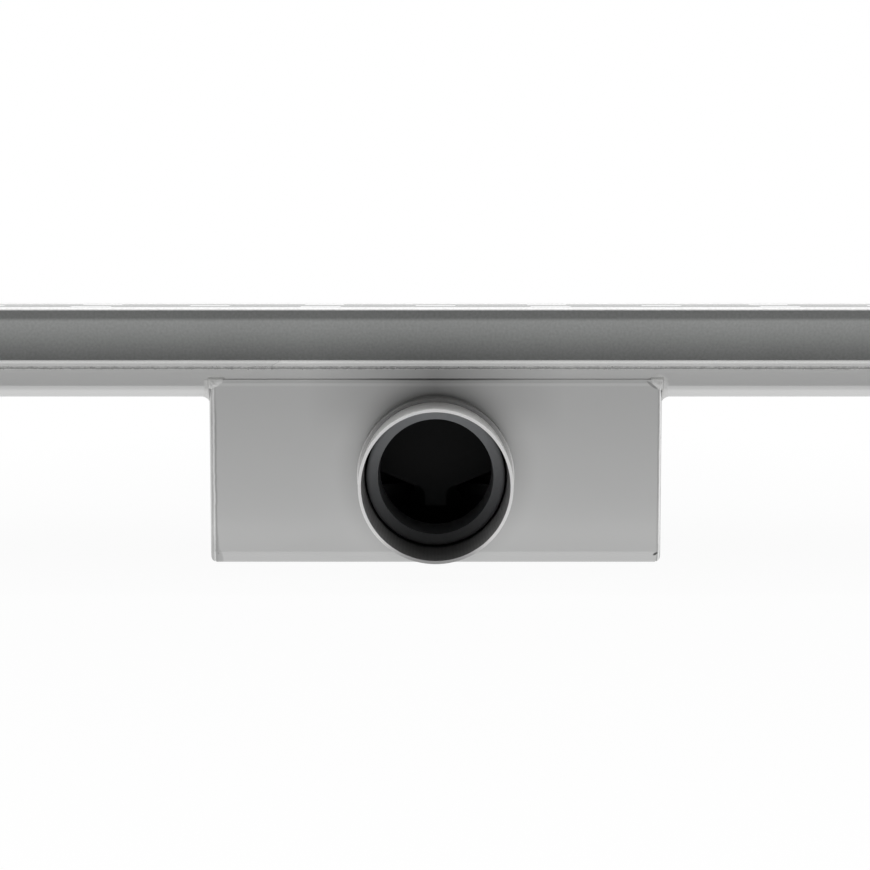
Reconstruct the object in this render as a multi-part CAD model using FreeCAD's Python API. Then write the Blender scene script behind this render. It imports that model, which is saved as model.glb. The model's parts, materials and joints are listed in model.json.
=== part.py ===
import FreeCAD, Part
import math
import os

from FreeCAD import Vector

# A linear shower drain: a folded stainless channel with a sealing flange, a welded sump under its middle, a
# 50 mm side outlet, and a lift-out water trap under a slotted grate.
# Millimetres. z = 0 is the sump's underside, x runs along the channel, and the outlet points to -y.

past = 1.0                  # how far a cutting shape reaches past what it cuts

# Channel, one sheet folded up at both sides, with its rims turned in
channel_length = 600.0      # over both end plates
channel_width = 60.0        # over the outsides of the walls
channel_depth = 30.6        # underside to the top of the rim
sheet = 1.2                 # sheet of the channel, its ends and the sump's wrapper
bend_radius = 4.0           # outside of the bends between floor and walls
hem_gap = 0.3               # left open inside the turned-in rim
hem_length = 6.0            # height of the turned-in rim

# Sealing flange, flat strips welded round the walls below the rim
flange_height = 12.7        # its top above the channel's underside
flange_width = 35.0         # how far it stands out from the wall
flange_sheet = 1.2
flange_joint_x = -52.7      # where the two front strips butt
flange_joint_gap = 0.2
flange_corner = 3.0

# Sump, a folded wrapper closed by two side plates
sump_length = 154.0         # over the side plates
sump_drop = 57.0            # its underside below the channel's underside
sump_bend = 4.2             # outside of the wrapper's bends
sump_corner_round = 2.6     # ground rounding of its lower edge at each end
side_plate = 1.5
side_plate_round = 1.0      # ground rounding of its outer edges
side_plate_groove = 0.3     # square groove round it, beside the wrapper
lap = 6.1                   # how far the wrapper comes up over the channel's walls
weld_leg = 2.7              # fillet weld under the channel
weld_blob = 5.0             # radius of the domed weld at each upper corner
weld_blob_inset = 3.0       # its middle behind the side plate's face
weld_blob_drop = 1.4        # its middle below the wrapper's top
weld_proud = 0.7            # how far it stands out of the sump's face

# Outlet, a tube welded to a collar on the sump's front
outlet_height = 31.3        # axis above the sump's underside
stub_diameter = 50.0        # outside
stub_wall = 1.0
stub_length = 40.0          # in front of the sump's face
collar_proud = 1.4          # how far it stands out round the tube
collar_length = 10.8
collar_edge = 0.3           # bevel of its front edge

# Trap body, a moulded tub that hangs by its rim in the channel's floor
trap_length = 134.0
trap_corner = 7.0
trap_base_round = 4.0
trap_wall = 2.2
trap_ground = 0.3           # free height between the tub and the sump
opening_play = 0.5          # between the tub and the edge of the floor's opening
trap_rim = 4.0              # how far the rim stands out of the tub
rim_play = 0.5              # between the rim and the channel's bends
trap_rim_thickness = 2.0
rim_gasket_thickness = 1.0

# Spigot, a sleeve pushed out through the tub's front wall into the outlet tube
spigot_diameter = 46.5
spigot_bore = 38.8
spigot_reach = 11.8         # its nose in front of the sump's face
spigot_nose_round = 1.3
spigot_play = 0.25          # between the sleeve and the hole in the tub
spigot_shoulder = 2.4       # how far its shoulder stands out
spigot_shoulder_thickness = 1.2
spigot_gasket_thickness = 0.8
seal_groove_width = 4.0
seal_groove_depth = 1.5
seal_behind_nose = 4.5      # front of the groove behind the nose
seal_side_play = 0.1
seal_play = 0.05            # radial, at its foot and at its lips

# Cups, two loose cups of water under the dip tubes
cup_gap = 15.0              # between their lips
cup_spigot_play = 0.3       # between the lips and the spigot's back
cup_rim_height = 25.5       # rim above the sump's underside
cup_lip = 1.2               # how far the lip stands out
cup_lip_height = 3.7
cup_taper = 1.0             # smaller radius at the base
cup_base_bevel = 3.0
cup_wall = 1.3
cup_ring_play = 0.3
cup_ring_width = 1.2
cup_ring_height = 1.0

# Trap cover, a plate with a grip that closes the tub and carries the dip tubes
cover_rim = 3.0             # how far the plate stands out of the tub
cover_thickness = 3.0
cover_gasket_thickness = 0.8
cover_skirt_depth = 5.0
cover_skirt_wall = 1.8
cover_skirt_play = 0.4
grip_length = 15.0
grip_thickness = 2.5
grip_height = 9.0
grip_corner = 3.0

# Dip tubes, one hung by its flange in the cover over each cup
dip_bore = 18.0
dip_wall = 1.5
dip_bell = 5.0              # widening of the tube's mouth, at 45 degrees
dip_flange = 1.6            # width of the flange's seat on the cover
dip_flange_thickness = 1.4
dip_play = 0.2              # between the tube and the cover
dip_end_height = 11.5       # tube's lower end above the sump's underside

# Shield, a plate on edge under the cover, in front of the dip tubes, with a tongue down between the cups
shield_thickness = 1.5
shield_width = 44.0
shield_tube_gap = 2.8       # between it and the dip tubes
shield_side_height = 30.3   # its lower edge at the sides, above the sump's underside
shield_side_flat = 2.2      # level part of that edge
shield_neck_height = 25.0   # where the sloping edge meets the tongue's curve
tongue_width = 7.4
tongue_curve = 3.5
tongue_end_height = 18.0

# Strainers, flat perforated discs, one over each mouth
strainer_sheet = 0.8
strainer_seat_width = 1.3
strainer_seat_depth = 0.6   # how deep it sits below the cover's top
strainer_hole = 5.0
strainer_ring_radius = 8.5
strainer_ring_holes = 5

# Grate, a slotted sheet with its long sides folded down
grate_sheet = 1.5
grate_gap = 3.0             # between the grate and the channel all round
grate_below_rim = 0.2
grate_bend = 2.5            # outside of its bends
grate_skirt = 3.3           # depth over the folded side
slot_width = 4.0
slot_length = 66.0
slot_pitch = 80.0
slot_row_spacing = 12.0
slot_end_margin = 10.0

# Supports, bent strips under the grate that stand on the channel's floor in rubber shoes
support_sheet = 1.5
support_strip = 14.0        # width of the strip
support_span = 40.0         # over the outsides of the legs
support_bend = 3.0
support_inner_x = 95.0
support_outer_x = 250.0
shoe_floor = 1.5            # rubber under the leg
shoe_wall = 1.8
shoe_height = 6.0
shoe_play = 0.1

# Levels and faces that follow from the sizes above
channel_base = sump_drop
floor_top = channel_base + sheet
rim_top = channel_base + channel_depth
hem_radius = sheet + hem_gap / 2
sump_half_depth = channel_width / 2 + sheet
sump_face = -sump_half_depth
sump_top = channel_base + lap
wrapper_half = sump_length / 2 - side_plate
stub_front = sump_face - stub_length
outlet_bore = stub_diameter / 2 - stub_wall
collar_front = sump_face - collar_length
trap_width = channel_width - 2 * (bend_radius + trap_rim + rim_play)
trap_base = sheet + trap_ground
trap_floor = trap_base + trap_wall
trap_rim_base = floor_top + rim_gasket_thickness
trap_rim_top = trap_rim_base + trap_rim_thickness
cover_base = trap_rim_top + cover_gasket_thickness
cover_top = cover_base + cover_thickness
trap_inner_length = trap_length - 2 * trap_wall
trap_inner_width = trap_width - 2 * trap_wall
trap_inner_corner = trap_corner - trap_wall
spigot_back = -trap_inner_width / 2 + spigot_gasket_thickness + spigot_shoulder_thickness
cup_lip_radius = -spigot_back - cup_spigot_play
cup_top_radius = cup_lip_radius - cup_lip
cup_base_radius = cup_top_radius - cup_taper
cup_centres = (-cup_lip_radius - cup_gap / 2, cup_lip_radius + cup_gap / 2)
dip_top = cover_top - strainer_seat_depth
mouth_radius = dip_bore / 2 + dip_bell
dip_flange_radius = mouth_radius + dip_flange
strainer_radius = mouth_radius + strainer_seat_width
grate_top = rim_top - grate_below_rim
grate_width = channel_width - 4 * hem_radius - 2 * grate_gap
grate_length = channel_length - 2 * sheet - 2 * grate_gap
grate_underside = grate_top - grate_sheet


def block(x, y, z):
    """A box from its (low, high) along each axis."""
    corner = Vector(x[0], y[0], z[0])
    return Part.makeBox(x[1] - x[0], y[1] - y[0], z[1] - z[0], corner)


def closed_face(steps, place):
    """A flat face from its outline. A step is the next corner, or an arc's (point on the way, end)."""
    start = place(*steps[0])
    here = start
    edges = []
    for step in steps[1:]:
        if isinstance(step[0], tuple):
            way, end = place(*step[0]), place(*step[1])
            edges.append(Part.Arc(here, way, end).toShape())
        else:
            end = place(*step)
            edges.append(Part.LineSegment(here, end).toShape())
        here = end
    if here.distanceToPoint(start) > 1e-6:
        edges.append(Part.LineSegment(here, start).toShape())
    return Part.Face(Part.Wire(edges))


def on_circle(centre, radius, degrees):
    """The point of a circle at an angle from the first axis."""
    angle = math.radians(degrees)
    return centre[0] + radius * math.cos(angle), centre[1] + radius * math.sin(angle)


def arc(centre, radius, begin, end):
    """An outline's arc step, from one angle to another."""
    return on_circle(centre, radius, (begin + end) / 2), on_circle(centre, radius, end)


def mirrored(shape, normal):
    """A shape's mirror image in the plane through the origin with this normal."""
    return shape.mirror(Vector(0, 0, 0), normal)


def both_sides(shape):
    """A half in front of the channel's centre plane, made whole."""
    return shape.fuse(mirrored(shape, Vector(0, 1, 0))).removeSplitter()


def along_channel(face, x0, x1):
    """A cross-section drawn at x = 0, drawn out from x0 to x1."""
    moved = face.copy()
    moved.translate(Vector(x0, 0, 0))
    return moved.extrude(Vector(x1 - x0, 0, 0))


def trough_outline(half, height, radius, top_round):
    """The outside of a U-shaped trough as a full cross-section."""
    low = (half - radius, radius)
    high = (half - top_round, height - top_round)
    steps = [(0.0, 0.0), (low[0], 0.0), arc(low, radius, -90, 0)]
    if top_round:
        steps += [(half, high[1]), arc(high, top_round, 0, 90)]
    else:
        steps += [(half, height)]
    steps += [(0.0, height)]
    return closed_face(steps, lambda y, z: Vector(0, y, z))


def rounded_plate(length, width, corner, z0, z1):
    """A flat plate with rounded corners, centred on the channel."""
    x, y = length / 2 - corner, width / 2 - corner
    steps = [
        (-x, -width / 2),
        (x, -width / 2),
        arc((x, -y), corner, -90, 0),
        (length / 2, y),
        arc((x, y), corner, 0, 90),
        (-x, width / 2),
        arc((-x, y), corner, 90, 180),
        (-length / 2, -y),
        arc((-x, -y), corner, 180, 270),
    ]
    face = closed_face(steps, lambda a, b: Vector(a, b, z0))
    return face.extrude(Vector(0, 0, z1 - z0))


def round_lower_edges(solid, radius):
    """Round every edge that lies in the solid's lowest plane."""
    low = solid.BoundBox.ZMin
    edges = [edge for edge in solid.Edges if edge.BoundBox.ZMax < low + 1e-6]
    return solid.makeFillet(radius, edges)


def turned_upright(steps, x):
    """A ring or cup turned about the upright axis at x, from its (radius, z) outline."""
    face = closed_face(steps, lambda r, z: Vector(x + r, 0, z))
    return face.revolve(Vector(x, 0, 0), Vector(0, 0, 1), 360)


def turned_on_outlet(steps):
    """A ring or sleeve turned about the outlet's axis, from its (radius, y) outline."""
    face = closed_face(steps, lambda r, y: Vector(r, y, outlet_height))
    return face.revolve(Vector(0, 0, outlet_height), Vector(0, 1, 0), 360)


def tube_on_outlet(outer, inner, y0, y1):
    """A plain tube about the outlet's axis."""
    return turned_on_outlet([(inner, y0), (outer, y0), (outer, y1), (inner, y1)])


def channel_envelope(x0, x1):
    """The space inside the channel's outer faces, for what is cut to fit round it."""
    half = trough_outline(channel_width / 2, channel_depth, bend_radius, hem_radius)
    body = both_sides(along_channel(half, x0, x1))
    body.translate(Vector(0, 0, channel_base))
    return body


def channel_body():
    half, top = channel_width / 2, channel_depth
    fold = (half - bend_radius, bend_radius)
    hem = (half - hem_radius, top - hem_radius)
    inner_bend = bend_radius - sheet
    steps = [
        (0.0, 0.0),
        (fold[0], 0.0),
        arc(fold, bend_radius, -90, 0),
        (half, hem[1]),
        arc(hem, hem_radius, 0, 180),
        (half - 2 * hem_radius, top - hem_length),
        (half - 2 * hem_radius + sheet, top - hem_length),
        (half - 2 * hem_radius + sheet, hem[1]),
        arc(hem, hem_gap / 2, 180, 0),
        (half - sheet, fold[1]),
        arc(fold, inner_bend, 0, -90),
        (0.0, sheet),
    ]
    section = closed_face(steps, lambda y, z: Vector(0, y, channel_base + z))
    reach = channel_length / 2 - sheet
    body = both_sides(along_channel(section, -reach, reach))
    opening = rounded_plate(
        trap_length + 2 * opening_play,
        trap_width + 2 * opening_play,
        trap_corner + opening_play,
        channel_base - past,
        floor_top + past,
    )
    return body.cut(opening)


def channel_end(side):
    face = channel_length / 2
    return channel_envelope(*sorted((side * (face - sheet), side * face)))


def flange_strip(x0, x1, side):
    """A straight strip along the front (-1) or rear (+1) wall."""
    wall = channel_width / 2
    top = channel_base + flange_height
    y = sorted((side * wall, side * (wall + flange_width)))
    return block((x0, x1), y, (top - flange_sheet, top))


def flange_end(side):
    """The strip across an end, with its two outer corners rounded."""
    inner = channel_length / 2
    outer = inner + flange_width
    reach = channel_width / 2 + flange_width
    top = channel_base + flange_height
    strip = block(sorted((side * inner, side * outer)), (-reach, reach), (top - flange_sheet, top))
    corners = [
        edge
        for edge in strip.Edges
        if abs(edge.BoundBox.XMin - side * outer) < 1e-6 and edge.BoundBox.ZLength > flange_sheet / 2
    ]
    return strip.makeFillet(flange_corner, [edge for edge in corners if edge.BoundBox.YLength < 1e-6])


def off_lower_edge(side):
    """What is ground off the sump's lower edge at one end."""
    x, radius = side * sump_length / 2, sump_corner_round
    depth = (-sump_half_depth - past, sump_half_depth + past)
    waste = block(sorted((x + side * past, x - side * radius)), depth, (-past, radius))
    start = Vector(x - side * radius, depth[0], radius)
    return waste.cut(Part.makeCylinder(radius, depth[1] - depth[0], start, Vector(0, 1, 0)))


def sump_wrapper():
    inner_bend = sump_bend - sheet
    outer = trough_outline(sump_half_depth, sump_top, sump_bend, 0)
    inner = trough_outline(sump_half_depth - sheet, sump_top - sheet, inner_bend, 0)
    inner.translate(Vector(0, 0, sheet))
    section = outer.cut(inner)
    body = both_sides(along_channel(section, -wrapper_half, wrapper_half))
    hole = tube_on_outlet(outlet_bore, 0, sump_face - past, sump_face + sheet + past)
    return body.cut([hole, off_lower_edge(-1), off_lower_edge(1)])


def sump_side(side):
    """A flat plate on the wrapper's end, cut out as a saddle for the channel."""
    groove = side_plate_groove
    face = trough_outline(sump_half_depth, sump_top, sump_bend, 0)
    foot = trough_outline(sump_half_depth - groove, sump_top - groove, sump_bend - groove, 0)
    foot.translate(Vector(0, 0, groove))
    inner, step, outer = side * wrapper_half, side * (wrapper_half + groove), side * sump_length / 2
    plate = both_sides(along_channel(face, *sorted((step, outer))))
    outline = [
        edge
        for edge in plate.Edges
        if edge.BoundBox.XLength < 1e-6
        and abs(edge.CenterOfMass.x - outer) < 1e-6
        and edge.CenterOfMass.z < sump_top - 1e-6
    ]
    plate = plate.makeFillet(side_plate_round, outline)
    plate = plate.fuse(both_sides(along_channel(foot, *sorted((inner, step))))).removeSplitter()
    channel = channel_envelope(-sump_length / 2 - past, sump_length / 2 + past)
    return plate.cut([channel, off_lower_edge(side)])


def sump_weld(side):
    """The fillet weld between a side plate and the channel, with a blob at each corner."""
    x = side * sump_length / 2
    flat = channel_width / 2 - bend_radius
    hollow = (x + side * weld_leg, channel_base - weld_leg)
    steps = [
        (x, channel_base),
        (x, channel_base - weld_leg),
        arc(hollow, weld_leg, 90 + side * 90, 90),
    ]
    section = closed_face(steps, lambda a, z: Vector(a, -flat, z))
    weld = section.extrude(Vector(0, 2 * flat, 0))
    middle = sump_half_depth + weld_proud - weld_blob
    centres = [Vector(x - side * weld_blob_inset, y, sump_top - weld_blob_drop) for y in (-middle, middle)]
    solids = [weld] + [Part.makeSphere(weld_blob, centre) for centre in centres]
    reach = sump_length / 2 + weld_blob + weld_leg
    ends, walls = (-sump_length / 2, sump_length / 2), (-sump_half_depth + sheet, sump_half_depth - sheet)
    inside = block(ends, walls, (0, sump_top))
    others = [channel_envelope(-reach, reach), sump_wrapper(), sump_side(side), inside]
    return Part.makeCompound([piece for solid in solids for piece in solid.cut(others).Solids])


def outlet_stub():
    return tube_on_outlet(stub_diameter / 2, outlet_bore, stub_front, collar_front)


def outlet_collar():
    outer = stub_diameter / 2 + collar_proud
    steps = [
        (outlet_bore, sump_face),
        (outlet_bore, collar_front),
        (outer - collar_edge, collar_front),
        (outer, collar_front + collar_edge),
        (outer, sump_face),
    ]
    return turned_on_outlet(steps)


def trap_body():
    tub = round_lower_edges(
        rounded_plate(trap_length, trap_width, trap_corner, trap_base, trap_rim_top), trap_base_round
    )
    rim = rounded_plate(
        trap_length + 2 * trap_rim,
        trap_width + 2 * trap_rim,
        trap_corner + trap_rim,
        trap_rim_base,
        trap_rim_top,
    )
    inside = round_lower_edges(
        rounded_plate(
            trap_inner_length, trap_inner_width, trap_inner_corner, trap_floor, trap_rim_top + past
        ),
        trap_base_round - trap_wall,
    )
    body = tub.fuse(rim).cut(inside)
    radius = spigot_diameter / 2 + spigot_play
    hole = tube_on_outlet(radius, 0, -trap_width / 2 - past, -trap_inner_width / 2 + past)
    return body.cut(hole).fuse([cup_ring(x) for x in cup_centres]).removeSplitter()


def cup_ring(x):
    """A low ring on the tub's floor that keeps a cup in place."""
    inner = cup_base_radius + cup_ring_play
    outer = inner + cup_ring_width
    top = trap_floor + cup_ring_height
    return turned_upright([(inner, trap_floor), (outer, trap_floor), (outer, top), (inner, top)], x)


def rim_gasket():
    outer = rounded_plate(
        trap_length + 2 * trap_rim,
        trap_width + 2 * trap_rim,
        trap_corner + trap_rim,
        floor_top,
        trap_rim_base,
    )
    hole = rounded_plate(
        trap_length + 2 * opening_play,
        trap_width + 2 * opening_play,
        trap_corner + opening_play,
        floor_top - past,
        trap_rim_base + past,
    )
    return outer.cut(hole)


def spigot_levels():
    """The nose, the groove's front and back, and the shoulder's front and back, along y."""
    nose = sump_face - spigot_reach
    groove = nose + seal_behind_nose
    return nose, groove, groove + seal_groove_width, spigot_back - spigot_shoulder_thickness, spigot_back


def outlet_spigot():
    outer, bore = spigot_diameter / 2, spigot_bore / 2
    nose, groove, groove_back, shoulder, back = spigot_levels()
    rounding = (outer - spigot_nose_round, nose + spigot_nose_round)
    steps = [
        (bore, nose),
        (rounding[0], nose),
        arc(rounding, spigot_nose_round, -90, 0),
        (outer, groove),
        (outer - seal_groove_depth, groove),
        (outer - seal_groove_depth, groove_back),
        (outer, groove_back),
        (outer, shoulder),
        (outer + spigot_shoulder, shoulder),
        (outer + spigot_shoulder, back),
        (bore, back),
    ]
    return turned_on_outlet(steps)


def spigot_seal():
    """A two-lipped rubber ring between the sleeve's groove and the outlet tube."""
    inner = spigot_diameter / 2 - seal_groove_depth + seal_play
    waist = spigot_diameter / 2
    lip = outlet_bore - seal_play
    front, back = spigot_levels()[1] + seal_side_play, spigot_levels()[2] - seal_side_play
    middle = (front + back) / 2
    quarter = (back - front) / 4
    steps = [
        (inner, front),
        (waist, front),
        (lip, front + quarter),
        (waist, middle),
        (lip, back - quarter),
        (waist, back),
        (inner, back),
    ]
    return turned_on_outlet(steps)


def spigot_gasket():
    radius = spigot_diameter / 2
    wall = -trap_inner_width / 2
    return tube_on_outlet(radius + spigot_shoulder, radius + seal_play, wall, wall + spigot_gasket_thickness)


def trap_cup(x):
    lip_base = cup_rim_height - cup_lip_height
    foot, bevel_top = cup_base_radius - cup_base_bevel, trap_floor + cup_base_bevel
    steps = [
        (0.0, trap_floor),
        (foot, trap_floor),
        (cup_base_radius, bevel_top),
        (cup_top_radius, lip_base),
        (cup_lip_radius, lip_base),
        (cup_lip_radius, cup_rim_height),
        (cup_top_radius - cup_wall, cup_rim_height),
        (cup_base_radius - cup_wall, bevel_top),
        (foot, trap_floor + cup_wall),
        (0.0, trap_floor + cup_wall),
    ]
    return turned_upright(steps, x)


def dip_tube(x):
    """A tube with a funnel mouth and a flange, down into the cup."""
    bore = dip_bore / 2
    outer = bore + dip_wall
    bell_low, flange_low = dip_top - dip_bell, dip_top - dip_flange_thickness
    steps = [
        (bore, dip_end_height),
        (outer, dip_end_height),
        (outer, bell_low),
        (mouth_radius, flange_low),
        (dip_flange_radius, flange_low),
        (dip_flange_radius, dip_top),
        (mouth_radius, dip_top),
        (bore, bell_low),
    ]
    return turned_upright(steps, x)


def trap_cover():
    plate = rounded_plate(
        trap_length + 2 * cover_rim,
        trap_width + 2 * cover_rim,
        trap_corner + cover_rim,
        cover_base,
        cover_top,
    )
    length = trap_inner_length - 2 * cover_skirt_play
    width = trap_inner_width - 2 * cover_skirt_play
    corner = trap_inner_corner - cover_skirt_play
    skirt_low = cover_base - cover_skirt_depth
    skirt = rounded_plate(length, width, corner, skirt_low, cover_base).cut(
        rounded_plate(
            length - 2 * cover_skirt_wall,
            width - 2 * cover_skirt_wall,
            corner - cover_skirt_wall,
            skirt_low - past,
            cover_base,
        )
    )
    body = plate.fuse([skirt, grip()]).removeSplitter()
    seat_low = dip_top - dip_flange_thickness
    for x in cup_centres:
        through = Vector(x, 0, cover_base - past)
        hole = Part.makeCylinder(mouth_radius + dip_play, cover_thickness + 2 * past, through)
        seat = Part.makeCylinder(dip_flange_radius + dip_play, cover_thickness, Vector(x, 0, seat_low))
        body = body.cut([hole, seat])
    return body


def trap_shield():
    half, tongue = shield_width / 2, tongue_width / 2
    back = -(dip_bore / 2 + dip_wall + shield_tube_gap)
    bend = (tongue + tongue_curve, shield_neck_height - tongue_curve)
    steps = [
        (0.0, cover_base),
        (half, cover_base),
        (half, shield_side_height),
        (half - shield_side_flat, shield_side_height),
        (bend[0], shield_neck_height),
        arc(bend, tongue_curve, 90, 180),
        (tongue, tongue_end_height),
        (0.0, tongue_end_height),
    ]
    right = closed_face(steps, lambda x, z: Vector(x, back, z)).extrude(Vector(0, -shield_thickness, 0))
    return right.fuse(mirrored(right, Vector(1, 0, 0))).removeSplitter()


def grip():
    """An upright rib on the plate to lift the cover by."""
    rib = block(
        (-grip_length / 2, grip_length / 2),
        (-grip_thickness / 2, grip_thickness / 2),
        (cover_base, cover_top + grip_height),
    )
    corners = [
        edge for edge in rib.Edges if edge.BoundBox.ZMin > cover_top and edge.BoundBox.XLength < 1e-6
    ]
    return rib.makeFillet(grip_corner, corners)


def cover_gasket():
    outer = rounded_plate(
        trap_length + 2 * cover_rim,
        trap_width + 2 * cover_rim,
        trap_corner + cover_rim,
        trap_rim_top,
        cover_base,
    )
    low, high = trap_rim_top - past, cover_base + past
    return outer.cut(rounded_plate(trap_inner_length, trap_inner_width, trap_inner_corner, low, high))


def strainer(x):
    """A thin disc with a ring of round holes about a middle one."""
    disc = Part.makeCylinder(strainer_radius, strainer_sheet, Vector(x, 0, dip_top))
    turns = [360 * k / strainer_ring_holes for k in range(strainer_ring_holes)]
    centres = [(0.0, 0.0)] + [on_circle((0.0, 0.0), strainer_ring_radius, turn) for turn in turns]
    radius, height, low = strainer_hole / 2, strainer_sheet + 2 * past, dip_top - past
    return disc.cut([Part.makeCylinder(radius, height, Vector(x + a, b, low)) for a, b in centres])


def slot(x, y):
    """What is cut out of the grate's top for one slot."""
    reach, half = slot_length / 2, slot_width / 2
    return block((x - reach, x + reach), (y - half, y + half), (grate_underside - past, grate_top + past))


def slot_row(y, shift):
    """As many slots as fit along the grate, centred, or moved on by half a pitch."""
    room = grate_length / 2 - slot_end_margin - slot_length / 2
    count = int((room - shift) // slot_pitch)
    places = [shift + k * slot_pitch for k in range(count + 1)]
    return [slot(side * x, y) for x in places for side in (-1, 1) if x or side > 0]


def grate():
    half = grate_width / 2
    low = grate_top - grate_skirt
    bend = (half - grate_bend, grate_top - grate_bend)
    steps = [
        (0.0, grate_top),
        (bend[0], grate_top),
        arc(bend, grate_bend, 90, 0),
        (half, low),
        (half - grate_sheet, low),
        (half - grate_sheet, bend[1]),
        arc(bend, grate_bend - grate_sheet, 0, 90),
        (0.0, grate_underside),
    ]
    section = closed_face(steps, lambda y, z: Vector(0, y, z))
    body = both_sides(along_channel(section, -grate_length / 2, grate_length / 2))
    slots = slot_row(-slot_row_spacing, 0.0) + slot_row(slot_row_spacing, 0.0) + slot_row(0.0, slot_pitch / 2)
    return body.cut(slots)


def grate_support(x):
    """A strip bent to a bridge, spot-welded under the grate."""
    half, top = support_span / 2, grate_underside
    low = floor_top + shoe_floor
    bend = (half - support_bend, top - support_bend)
    steps = [
        (0.0, top),
        (bend[0], top),
        arc(bend, support_bend, 90, 0),
        (half, low),
        (half - support_sheet, low),
        (half - support_sheet, bend[1]),
        arc(bend, support_bend - support_sheet, 0, 90),
        (0.0, top - support_sheet),
    ]
    section = closed_face(steps, lambda y, z: Vector(0, y, z))
    return both_sides(along_channel(section, x - support_strip / 2, x + support_strip / 2))


def support_shoes():
    """A rubber shoe on each leg of each support."""
    shoes = []
    length = support_strip / 2 + shoe_play + shoe_wall
    middle = support_span / 2 - support_sheet / 2
    width = support_sheet / 2 + shoe_play + shoe_wall
    for x in support_places():
        for side in (-1, 1):
            y = side * middle
            shoe_x, shoe_y = (x - length, x + length), (y - width, y + width)
            shoe = block(shoe_x, shoe_y, (floor_top, floor_top + shoe_height))
            slot_x = (x - length + shoe_wall, x + length - shoe_wall)
            slot_y = (y - width + shoe_wall, y + width - shoe_wall)
            pocket = block(slot_x, slot_y, (floor_top + shoe_floor, floor_top + shoe_height + past))
            shoes.append(shoe.cut(pocket))
    return Part.makeCompound(shoes)


def support_places():
    return (-support_outer_x, -support_inner_x, support_inner_x, support_outer_x)


def all_pieces():
    """Every piece by its node's name."""
    end = channel_length / 2
    joint = flange_joint_gap / 2
    pieces = {
        "channel_body": channel_body(),
        "flange_front_left": flange_strip(-end, flange_joint_x - joint, -1),
        "flange_front_right": flange_strip(flange_joint_x + joint, end, -1),
        "flange_rear": flange_strip(-end, end, 1),
        "sump_wrapper": sump_wrapper(),
        "outlet_collar": outlet_collar(),
        "outlet_stub": outlet_stub(),
        "trap_body": trap_body(),
        "trap_rim_gasket": rim_gasket(),
        "outlet_spigot": outlet_spigot(),
        "spigot_gasket": spigot_gasket(),
        "spigot_seal": spigot_seal(),
        "trap_cover": trap_cover(),
        "trap_shield": trap_shield(),
        "cover_gasket": cover_gasket(),
        "grate": grate(),
        "support_shoes": support_shoes(),
    }
    for name, side, x in (("left", -1, cup_centres[0]), ("right", 1, cup_centres[1])):
        pieces["channel_end_" + name] = channel_end(side)
        pieces["flange_end_" + name] = flange_end(side)
        pieces["sump_side_" + name] = sump_side(side)
        pieces["sump_weld_" + name] = sump_weld(side)
        pieces["trap_cup_" + name] = trap_cup(x)
        pieces["dip_tube_" + name] = dip_tube(x)
        pieces["strainer_" + name] = strainer(x)
    for number, x in enumerate(support_places(), 1):
        pieces[f"grate_support_{number}"] = grate_support(x)
    return pieces


os.makedirs("parts", exist_ok=True)
for name, shape in all_pieces().items():
    solids = shape.Solids
    shape = solids[0] if len(solids) == 1 else Part.makeCompound(solids)
    shape.exportStep(os.path.join("parts", name + ".step"))
    print(f"{name}: {len(solids)} solid(s), {shape.Volume / 1000:.2f} cm3, valid {shape.isValid()}")
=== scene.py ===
# %% [markdown]
# # A linear shower drain in brushed and satin steel
# The real drain is a long folded steel channel with a flat sealing flange at mid-height, a welded
# sump under its middle and a short outlet tube that points at the viewer. Its sizes come from the
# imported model, so this lesson only dresses it: finishes for every piece, weld beads that are too
# fine for the solid model, and a studio.

import json
import math

import bpy
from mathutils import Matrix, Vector


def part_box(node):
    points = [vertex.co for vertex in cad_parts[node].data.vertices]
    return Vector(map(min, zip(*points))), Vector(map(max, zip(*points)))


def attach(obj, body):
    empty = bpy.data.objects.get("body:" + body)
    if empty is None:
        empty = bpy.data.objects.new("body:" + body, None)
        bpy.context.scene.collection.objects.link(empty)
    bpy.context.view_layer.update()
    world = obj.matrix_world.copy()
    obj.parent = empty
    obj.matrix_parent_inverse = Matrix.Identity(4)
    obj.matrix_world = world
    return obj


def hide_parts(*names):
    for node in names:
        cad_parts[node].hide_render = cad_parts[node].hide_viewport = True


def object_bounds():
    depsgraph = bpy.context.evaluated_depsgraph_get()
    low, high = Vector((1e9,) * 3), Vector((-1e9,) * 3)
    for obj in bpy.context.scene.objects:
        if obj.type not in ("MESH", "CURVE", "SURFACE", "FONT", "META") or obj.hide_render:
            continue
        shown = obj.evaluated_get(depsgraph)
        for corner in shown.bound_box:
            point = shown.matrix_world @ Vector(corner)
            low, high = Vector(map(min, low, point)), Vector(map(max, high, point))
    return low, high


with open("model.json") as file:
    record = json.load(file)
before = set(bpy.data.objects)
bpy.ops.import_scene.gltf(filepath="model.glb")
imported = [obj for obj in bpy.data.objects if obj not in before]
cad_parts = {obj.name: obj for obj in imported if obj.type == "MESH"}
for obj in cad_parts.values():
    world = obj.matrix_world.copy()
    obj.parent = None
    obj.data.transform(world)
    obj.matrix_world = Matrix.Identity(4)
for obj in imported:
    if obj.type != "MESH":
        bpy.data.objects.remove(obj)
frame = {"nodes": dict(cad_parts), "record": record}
cad_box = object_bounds()
print("solid model:", [[round(value, 4) for value in corner] for corner in cad_box])

# %% [markdown]
# ## Levels to work from
# Every level and face used below is read from the boxes of the pieces, so a changed drain is still
# dressed right. The channel runs along x, the outlet points along -y, and z is up. All lengths are
# in metres, and MM makes them from millimetres.

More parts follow.
